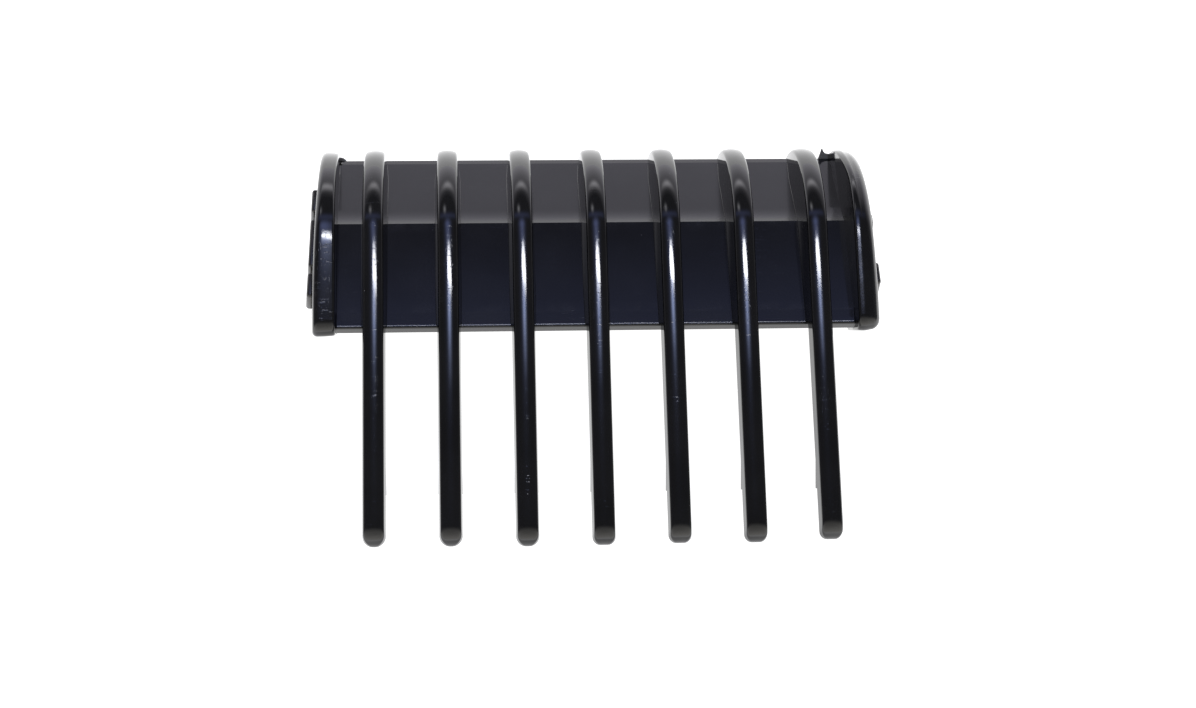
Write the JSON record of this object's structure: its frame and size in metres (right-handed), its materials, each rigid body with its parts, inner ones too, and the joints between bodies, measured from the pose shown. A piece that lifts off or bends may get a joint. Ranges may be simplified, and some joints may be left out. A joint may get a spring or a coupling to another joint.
{
  "type": "hair clipper guide comb",
  "caption": "Clip-on guide comb for a hair clipper: curved tines joined by a bent web between two thick-rimmed end cheeks, in gloss black plastic.",
  "frame": {"origin": "middle of the footprint, on the plane the cheeks rest on", "axes": "+X across the tines, from the left cheek to the right cheek; +Y from the tine tips to the heel; +Z from the resting plane to the side that faces the skin"},
  "size_m": [0.052, 0.0392, 0.01],
  "materials": {
    "moulding": "smooth gloss with fine handling scuffs"
  },
  "bodies": {
    "root": {"tine_1": "moulding", "tine_2": "moulding", "tine_3": "moulding", "tine_4": "moulding", "tine_5": "moulding", "tine_6": "moulding", "tine_7": "moulding", "lower_panel": "moulding", "upper_panel": "moulding", "panel_lip": "moulding", "top_edge_bead": "moulding", "left_cheek": "moulding", "right_cheek": "moulding", "left_guide_rail": "moulding", "right_guide_rail": "moulding", "left_raised_marks": "moulding", "right_raised_marks": "moulding", "left_corner_nib": "moulding", "right_corner_nib": "moulding"}
  },
  "joints": []
}
